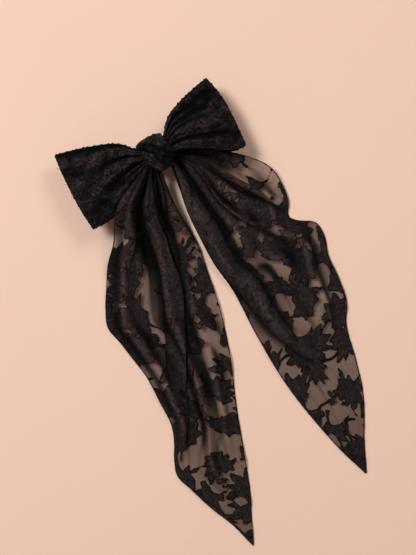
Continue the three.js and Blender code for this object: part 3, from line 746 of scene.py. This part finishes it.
# lays a flat tail out between its two edges, turned back on itself at its folds
def drape(tail):
    share = np.linspace(0, 1, tailCloth["rows"] + 1)
    across = np.linspace(0, 1, tailCloth["columns"] + 1)[None, :]
    left = alongPoints(tail["leftEdge"], share, flatOnly=True)
    right = alongPoints(tail["rightEdge"], share, flatOnly=True)
    flatWidth = readAlong(tail["flatWidth"], share)
    used = [foldShape["used"] * np.maximum(np.interp(share, *zip(*fold["over"])), 0) for fold in tail["folds"]]
    spare = flatWidth - sum(used)
    cloth = across * flatWidth[:, None]
    before = np.zeros_like(share)
    drawnBack = np.zeros_like(cloth)
    lift = np.zeros_like(cloth)
    openEdges = []
    for fold, taken in zip(tail["folds"], used):
        reach = np.maximum(taken * foldShape["reach"], foldShape["leastReach"])[:, None]
        centre = readAlong(fold["path"], share) * spare + before + taken / 2
        turned = foldShape["openAt"] if fold["side"] > 0 else 1 - foldShape["openAt"]
        edgeAt = centre - fold["side"] * foldShape["edge"] * reach[:, 0] - before - turned * taken
        before = before + taken
        off = cloth - centre[:, None]
        strength = np.clip(taken / foldShape["fullShadow"], 0, 1)
        openEdges.append((off * fold["side"] / reach, edgeAt / spare, fold["side"], strength))
        part = np.clip(off / reach, -1, 1)
        drawnBack += taken[:, None] * (0.5 + 0.75 * part - 0.25 * part**3)
        off = off * fold["side"]
        raised = smooth(-1.9 * reach - 3, -1.2 * reach, off) * (1 - smooth(-reach, reach, off))
        lift += np.maximum(readAlong(fold["height"], share), 0)[:, None] * raised
    plan = (cloth - drawnBack) / spare[:, None]
    width = np.linalg.norm((right - left)[:, :2], axis=1)[:, None]
    # painted shadow: the cloth just beyond each fold's open edge is marked dark, fading with distance; it is no
    # cast shadow of the lamps
    shadow = np.zeros_like(plan)
    for past, edgeAt, side, strength in openEdges:
        beyond = np.maximum((plan - edgeAt[:, None]) * width * side, 0)
        cast = np.exp(-beyond / foldShape["shadowReach"]) * smooth(-0.72, -0.3, past)
        shadow = np.maximum(shadow, strength[:, None] * cast)
    for swell in tail["swells"]:
        swellWidth = readAlong(swell["width"], share)[:, None]
        off = (plan - readAlong(swell["path"], share)[:, None]) * width / swellWidth
        lift += readAlong(swell["height"], share)[:, None] * np.exp(-off * off)
    luck = random.Random(tail["seed"] + 100)
    for _ in range(ripple["count"]):
        waveLength, turn = luck.uniform(*ripple["waveLength"]), luck.uniform(-1, 1) * ripple["turn"]
        phase = (plan * width / waveLength + share[:, None] * tail["flatLength"] * turn / 30) * fullTurn
        phase += luck.uniform(0, fullTurn) + 0.8 * np.sin(share[:, None] * luck.uniform(6, 16))
        fade = smooth(0, 0.1, share) * smooth(1, 0.9, share) * waveLength / ripple["waveLength"][1]
        lift += ripple["height"] / 3 * np.sin(phase) * fade[:, None]
    places = left[:, None, :] + (right - left)[:, None, :] * plan[..., None]
    places[..., 2] += lift
    low = tailCloth["floor"]
    places[..., 2] = np.where(places[..., 2] < low, low + 0.05 * (places[..., 2] - low), places[..., 2])
    down = np.broadcast_to(share[:, None] * tail["flatLength"], cloth.shape)
    flat = np.stack([cloth - flatWidth[:, None] / 2, down], axis=-1)
    return places, flat, plan, width, shadow


# below 0 in a valley, above 0 on a ridge: height against the average of the cloth beside it
def reliefOf(places, reach):
    spread = np.arange(-3 * reach, 3 * reach + 1)
    weight = np.exp(-(spread / reach) ** 2 / 2)
    padded = np.pad(places[..., 2], ((0, 0), (3 * reach, 3 * reach)), mode="edge")
    average = np.stack([np.convolve(row, weight / weight.sum(), mode="valid") for row in padded])
    return places[..., 2] - average


# how closely packed the cloth is, seen from in front: gathers and steep sides hide more
def coverOf(places, flat):
    alongP, acrossP = np.gradient(places, axis=0), np.gradient(places, axis=1)
    alongF, acrossF = np.gradient(flat, axis=0), np.gradient(flat, axis=1)
    facing = np.cross(alongP, acrossP)
    real = np.linalg.norm(facing, axis=-1) + 1e-6
    cut = np.abs(alongF[..., 0] * acrossF[..., 1] - alongF[..., 1] * acrossF[..., 0])
    steep = np.clip(real / (np.abs(facing[..., 2]) + 1e-6), 1, 2.6)
    return np.clip(cut / real, 0.8, 2.5) * steep


def makeTail(name, tail, node, cloth, hem):
    places, flat, plan, width, shadow = drape(tail)
    leaf, outline = leafField(flat, tail["seed"])
    jagged = tailCloth["jagged"] * np.clip(leafField(flat, tail["seed"] + 1)[0], -4, 5)
    share = np.linspace(0, 1, tailCloth["rows"] + 1)[:, None]
    bandHalf = np.maximum(readAlong(tail["bandHalf"], share[:, 0])[:, None], tailCloth["leastBand"])
    band = np.abs(plan - readAlong(tail["leafyBand"], share[:, 0])[:, None]) * width / bandHalf
    leaf = np.maximum(leaf, (1 - band) * tailCloth["leafyLift"] + jagged)
    for along, across, long, wide in tail["clearings"]:
        off = np.hypot((share - along) * tail["flatLength"] / long, (plan - across) * width / wide)
        leaf = np.minimum(leaf, (off - 1) * min(long, wide) + jagged)
    near = smooth(*tailCloth["nearKnot"], share)
    wide, narrow = tailCloth["ridgeReach"]
    relief = reliefOf(places, wide) * near + reliefOf(places, narrow) * (1 - near)
    # painted shade and highlight: hollows and the painted fold shadows are marked for darkening and a closer
    # cover, crests for lightening and a more open cover
    hollowShade = np.maximum(smooth(0, tailCloth["hollowDepth"], -relief), shadow)
    crestHighlight = smooth(0, tailCloth["crestHeight"], relief) * (1 - shadow)
    gathered = smooth(tail["gatherEnd"], 0.02, share)
    coverAndShade = (coverOf(places, flat) * (1 + tailCloth["gatheredCover"] * gathered)
             * (1 + tailCloth["hollowShadeCover"] * hollowShade) * (1 - tailCloth["crestHighlightCover"] * crestHighlight))
    places[..., 2] += tailCloth["pile"] * smooth(-0.1, 0.5, leaf)
    marks = {"leaf": leaf, "outline": outline, "coverAndShade": coverAndShade, "hollowShade": hollowShade, "crestHighlight": crestHighlight}
    piece = clothPiece(name + "Cloth", places, flat, marks, cloth, tailCloth["wall"])
    luck = random.Random(tail["seed"])
    radii = [tailCloth["hemRadius"] * luck.uniform(0.82, 1.2) for _ in range(tailCloth["rows"] + 1)]
    hems = threadPiece(name + "Hems", [(places[:, 0], radii), (places[:, -1], radii)], hem)
    for part in (piece, hems):
        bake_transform(part)
    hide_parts(node)
    area = readAlong(tail["flatWidth"], np.linspace(0, 1, 101)).mean() * tail["flatLength"]


# dips are distance out, share across, reach out, reach across and depth
loopCloth = {
    "wall": 0.9, "columns": 80, "rows": 150, "picotStep": 4.0, "hemRadius": 0.68,
    "pleatDepth": 2.0, "pleatReach": 26, "outerDepth": 0.6, "outerAt": 30, "outerReach": 22,
    "bulge": 0.7, "second": 0.55, "secondPleats": 2.3,
    "crumples": 14, "crumpleWave": (5, 16), "crumpleRise": 0.011, "crumpleTurn": 0.9,
}

leftLoop = {
    "direction": -1,
    "profile": [(0.6, 21.4), (8, 21.9), (16, 24), (28, 27.4), (42, 29.2), (56, 29), (65, 26.4), (69.2, 21.4),
                (65.5, 16.6), (56, 14.4), (42, 13.6), (28, 13.8), (16, 15.4), (8, 16.7), (0.6, 17)],
    "topEdge": [(0, 6.3), (10, 6.8), (14, 8.8), (20, 15), (30, 20.4), (42, 24.2), (70, 31)],
    "bottomEdge": [(0, -6.3), (10, -6.6), (16, -9.6), (30, -17.6), (46, -26.6), (58, -29.6), (70, -30)],
    "topPull": -0.02, "bottomPull": -0.03, "edgeDrop": 6,
    "pleats": 3.4, "turn": 0.4, "cut": (64, 152), "area": 7200, "looseThreads": 7, "seed": 5,
    "dips": [(24, 0.62, 14, 0.12, 1.6), (40, 0.3, 18, 0.14, 1.4), (52, 0.62, 14, 0.2, 1.0),
             (20, 0.2, 9, 0.12, 1.4)],
}

rightLoop = {
    "direction": 1,
    "profile": [(0.6, 21.4), (8, 21.9), (16, 24), (28, 27.2), (40, 28.8), (51, 28.6), (58.5, 26), (62, 21.4),
                (58.5, 16.8), (51, 14.6), (40, 13.8), (28, 14), (16, 15.6), (8, 16.7), (0.6, 17)],
    "topEdge": [(0, 6.3), (10, 7), (14, 12), (20, 18), (29, 22.2), (45, 26.9), (62, 30.5)],
    "bottomEdge": [(0, -6.3), (10, -5.8), (16, -6.4), (33, -14), (54, -25.6), (62, -26)],
    "topPull": -0.075, "bottomPull": -0.015, "edgeDrop": 4.5,
    "pleats": 3.2, "turn": 2.2, "cut": (60, 140), "area": 6300, "looseThreads": 2, "seed": 8,
    "dips": [(30, 0.72, 22, 0.2, 3.4), (46, 0.36, 14, 0.09, 1.6), (24, 0.3, 12, 0.07, 1.5),
             (50, 0.84, 9, 0.1, 1.2)],
}


def loopPlaces(loop):
    share = np.linspace(0, 1, loopCloth["rows"] + 1)
    v = np.linspace(0, 1, loopCloth["columns"] + 1)[None, :]
    profile = alongPoints(loop["profile"], share)
    x, z = profile[:, :1], profile[:, 1:]
    reach = max(p[0] for p in loop["profile"])
    across = v * 2 - 1
    top, bottom = readAlong(loop["topEdge"], x[:, 0])[:, None], readAlong(loop["bottomEdge"], x[:, 0])[:, None]
    spread = np.clip(x / reach, 0, 1)
    pull = np.where(across > 0, loop["topPull"], loop["bottomPull"]) * across**2
    inFront = smooth(16, 23, z)
    openness = np.sqrt(np.sin(math.pi * spread * 0.999))
    gather = np.exp(-(x / loopCloth["pleatReach"]) ** 2)
    wave = np.cos(math.pi * loop["pleats"] * across + loop["turn"])
    second = np.cos(math.pi * loopCloth["secondPleats"] * across + loop["turn"] * 3 + x * 0.02)
    sharp = 1 - 2 * np.abs(wave) ** 0.7 * np.where(wave < 0, 1, 0.25)
    y = bottom + (top - bottom) * v
    outer = loopCloth["outerDepth"] * np.exp(-((x - loopCloth["outerAt"]) / loopCloth["outerReach"]) ** 2)
    depth = (loopCloth["pleatDepth"] * gather + outer) * smooth(0, 12, x)
    z = (z - inFront * openness * loop["edgeDrop"] * across**2
         + inFront * openness * loopCloth["bulge"] * np.cos(across * 7)
         + inFront * depth * sharp + inFront * openness * loopCloth["second"] * second
         - (1 - inFront) * depth * 0.5 * wave)
    for out, at, reachOut, reachAcross, dip in loop["dips"]:
        offOut, offAcross = (x - out) / reachOut, (v - at - 0.002 * (x - out)) / reachAcross
        z = z - inFront * dip * np.exp(-offOut**2 - offAcross**2)
    luck = random.Random(loop["seed"] + 40)
    most = loopCloth["crumpleTurn"]
    for _ in range(loopCloth["crumples"]):
        turn, waveLength = luck.uniform(-most, most), luck.uniform(*loopCloth["crumpleWave"])
        phase = (y * math.cos(turn) + x * math.sin(turn)) / waveLength * fullTurn + luck.uniform(0, fullTurn)
        rise = loopCloth["crumpleRise"] * waveLength * np.sin(phase + 0.9 * np.sin(x / 9 + waveLength))
        z = z + inFront * smooth(6, 24, x) * rise
    places = np.stack([x * (1 + spread * pull) * loop["direction"], np.broadcast_to(y, z.shape), z], axis=-1)
    flat = np.stack(np.broadcast_arrays((v - 0.5) * loop["cut"][0], share[:, None] * loop["cut"][1]), axis=-1)
    return places, flat


# picots: the hem thread stands out in small bumps
def edging(path, step, radius, seed):
    luck = random.Random(seed)
    gaps = np.linalg.norm(np.diff(path, axis=0), axis=1)
    length = np.concatenate([[0], np.cumsum(gaps)])
    fine = np.linspace(0, length[-1], int(length[-1] / 0.55))
    points = np.stack([np.interp(fine, length, path[:, k]) for k in range(3)], axis=-1)
    radii = np.full(len(fine), radius * 0.8)
    at = luck.uniform(0, step)
    while at < length[-1]:
        radii += radius * luck.uniform(0.4, 1.3) * np.exp(-((fine - at) / 0.7) ** 2)
        at += step * luck.uniform(0.6, 1.5)
    return points, list(radii)


def makeLoop(name, loop, node, cloth, hem):
    places, flat = loopPlaces(loop)
    leaf, outline = leafField(flat, loop["seed"])
    front = smooth(17, 21, places[..., 2])
    relief = (reliefOf(places, 4) + 1.6 * reliefOf(places, 15)) * front
    # painted shade in the loops' hollows and a painted highlight on their crests, read from the relief
    marks = {"leaf": leaf, "outline": outline, "hollowShade": smooth(0, 1.3, -relief),
             "crestHighlight": 1.5 * smooth(0.1, 1.7, relief)}
    piece = clothPiece(name + "Cloth", places, flat, marks, cloth, loopCloth["wall"])
    step, radius = loopCloth["picotStep"], loopCloth["hemRadius"]
    paths = [edging(places[:, 0], step, radius, loop["seed"]),
             edging(places[:, -1], step, radius, loop["seed"] + 1)]
    middle = loopCloth["rows"] // 2
    outer = places[middle] + np.array([0.5 * loop["direction"], 0, 0])
    paths.append(edging(outer, step * 0.9, radius * 0.7, loop["seed"] + 2))
    luck = random.Random(loop["seed"] + 3)
    for _ in range(loop["looseThreads"]):
        start = outer[int(luck.uniform(0.12, 0.85) * loopCloth["columns"])]
        turn, length = luck.uniform(-0.9, 0.9), luck.uniform(1.6, 3.6)
        path = [start + np.array([loop["direction"] * k * length / 6 * math.cos(turn + 0.2 * k),
                                  k * length / 6 * math.sin(turn + 0.2 * k), -0.1 * k]) for k in range(6)]
        paths.append((path, 0.13))
    edge = threadPiece(name + "Edging", paths, hem, sides=1)
    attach(piece, "bow")
    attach(edge, "bow")
    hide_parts(node)


knot = {
    "wall": 0.9, "columns": 60, "rows": 150,
    "middle": (-1.5, 19.3), "half": (13.2, 10.2),  # y and z
    "leftSide": [(-16, -5.6), (-14.9, -5.9), (-8, -9.4), (-1.3, -11.7), (9, -12.4), (12, -11.5)],
    "rightSide": [(-16, 7.2), (-15.7, 7.4), (-9.1, 11), (0, 10.3), (11.8, 8.6)],
    "creases": [
        {"line": [(-8, 10.5), (-6, 9), (-2.3, 7.2), (3.1, 1), (6.8, -4.3),
                  (11.5, -10)], "depth": 3.0, "step": 1.0},
        {"line": [(-13, 8.4), (-12.3, 8), (-7, 3), (-2.7, -2), (-1.8, -8.5), (1.25, -15.1),
                  (1.6, -17)], "depth": 3.0,
         "step": -1.1},
    ],
    "dips": [(4.5, -9.5, 3.6, 1.5), (3, 6.5, 2.2, 0.9)],  # x, y, reach and depth
    "squareness": 3.2, "backHalf": 8, "edgeRoll": 1.9, "ripple": 0.16,
    "cut": (23, 78), "seed": 3,
}


# signed distance to a line of points in the plan, positive to its right
def besideLine(x, y, line):
    best = np.full_like(x, 1e9)
    signed = np.zeros_like(x)
    for (ax, ay), (bx, by) in zip(line, line[1:]):
        dx, dy = bx - ax, by - ay
        t = np.clip(((x - ax) * dx + (y - ay) * dy) / (dx * dx + dy * dy), 0, 1)
        gap = np.hypot(x - ax - t * dx, y - ay - t * dy)
        side = np.sign((x - ax) * -dy + (y - ay) * dx)
        closer = gap < best
        best = np.where(closer, gap, best)
        signed = np.where(closer, gap * side, signed)
    return signed


def makeKnot(cloth, hem):
    share = np.linspace(0, 1, knot["rows"] + 1)[:, None]
    v = np.linspace(0, 1, knot["columns"] + 1)[None, :]
    turn = share * 2 * math.pi + math.pi * 1.5
    c, s = np.cos(turn), np.sin(turn)
    power = knot["squareness"]
    far = (np.abs(c) ** power + np.abs(s) ** power) ** (-1 / power)
    y0, z0 = knot["middle"][0] + knot["half"][0] * far * c, knot["middle"][1] + knot["half"][1] * far * s
    leftSide = readAlong(knot["leftSide"], y0[:, 0])[:, None]
    rightSide = readAlong(knot["rightSide"], y0[:, 0])[:, None]
    back = smooth(2, -6, z0 - knot["middle"][1])
    leftSide = leftSide * (1 - back) - knot["backHalf"] * back
    rightSide = rightSide * (1 - back) + knot["backHalf"] * back
    x = leftSide + (rightSide - leftSide) * v
    y = np.broadcast_to(y0, x.shape)
    front = smooth(0, 6, z0 - knot["middle"][1])
    rolled = -knot["edgeRoll"] * np.abs(v * 2 - 1) ** 3.5 + np.zeros_like(x)
    for crease in knot["creases"]:
        off = besideLine(x, y, crease["line"])
        narrow, broad = np.exp(-(off / 0.8) ** 2), np.exp(-np.abs(off) / 2.6)
        rolled = rolled - front * crease["depth"] * (0.5 * narrow + 0.5 * broad)
        rolled = rolled + front * crease["step"] * np.tanh(off / 0.9) * np.exp(-np.abs(off) / 6)
    for atX, atY, reach, depth in knot["dips"]:
        rolled = rolled - front * depth * np.exp(-((x - atX) ** 2 + (y - atY) ** 2) / reach**2)
    luck = random.Random(knot["seed"])
    first = besideLine(x, y, knot["creases"][0]["line"])
    for _ in range(5):
        waveLength, start = luck.uniform(2.2, 5), luck.uniform(0, fullTurn)
        rolled = rolled + front * knot["ripple"] * np.sin(first * fullTurn / waveLength + start + 0.15 * y)
    places = np.stack([x, y + rolled * c, z0 + rolled * s + np.zeros_like(x)], axis=-1)
    flat = np.stack(np.broadcast_arrays((v - 0.5) * knot["cut"][0] + 40, share * knot["cut"][1]), axis=-1)
    leaf, outline = leafField(flat, knot["seed"])
    leaf[-1], outline[-1] = leaf[0], outline[0]
    # painted shade in the knot's creases and a painted highlight on its rolls
    marks = {"leaf": leaf, "outline": outline, "hollowShade": smooth(1.3, 2.9, -rolled) * front,
             "crestHighlight": 3 * smooth(-1.5, 0.5, rolled) * front}
    piece = clothPiece("knotCloth", places, flat, marks, cloth, knot["wall"], closed=True)
    sides = [edging(places[:, 0], 3.4, 0.4, 31), edging(places[:, -1], 3.4, 0.4, 32)]
    sideHems = threadPiece("knotEdging", sides, hem, sides=1)
    for part in (piece, sideHems):
        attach(part, "bow")
    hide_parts("knot_wrap")


makeCamera()
makeLights()
makeFloor()
print("stage done")

tailMaterial = tailClothMaterial()
bowMaterial = bowClothMaterial()
blackThread = threadMaterial()
finishes = {"clip_steel": steelMaterial("brushedNickel", clipSteel),
            "spring_steel": steelMaterial("springStrip", springSteel), "thread": blackThread}
print("materials done")

makeKnot(bowMaterial, blackThread)
makeLoop("leftLoop", leftLoop, "loop_left", bowMaterial, blackThread)
makeLoop("rightLoop", rightLoop, "loop_right", bowMaterial, blackThread)
print("knot and loops done")

makeTail("leftTail", leftTail, "tail_left", tailMaterial, blackThread)
makeTail("rightTail", rightTail, "tail_right", tailMaterial, blackThread)
print("tails done")

nodeFinish = {"binding_thread": "thread", "base_plate": "clip_steel", "tension_bar": "spring_steel",
              "hinge_pin": "clip_steel", "clasp_arm": "clip_steel", "catch_base": "clip_steel",
              "catch_rivet": "clip_steel"}
for name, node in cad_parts.items():
    kind = nodeFinish.get(name, "clip_steel" if "wing" in name else "thread")
    for slotAt in node.material_slots:
        slotAt.material = finishes[kind]
print("clip done")
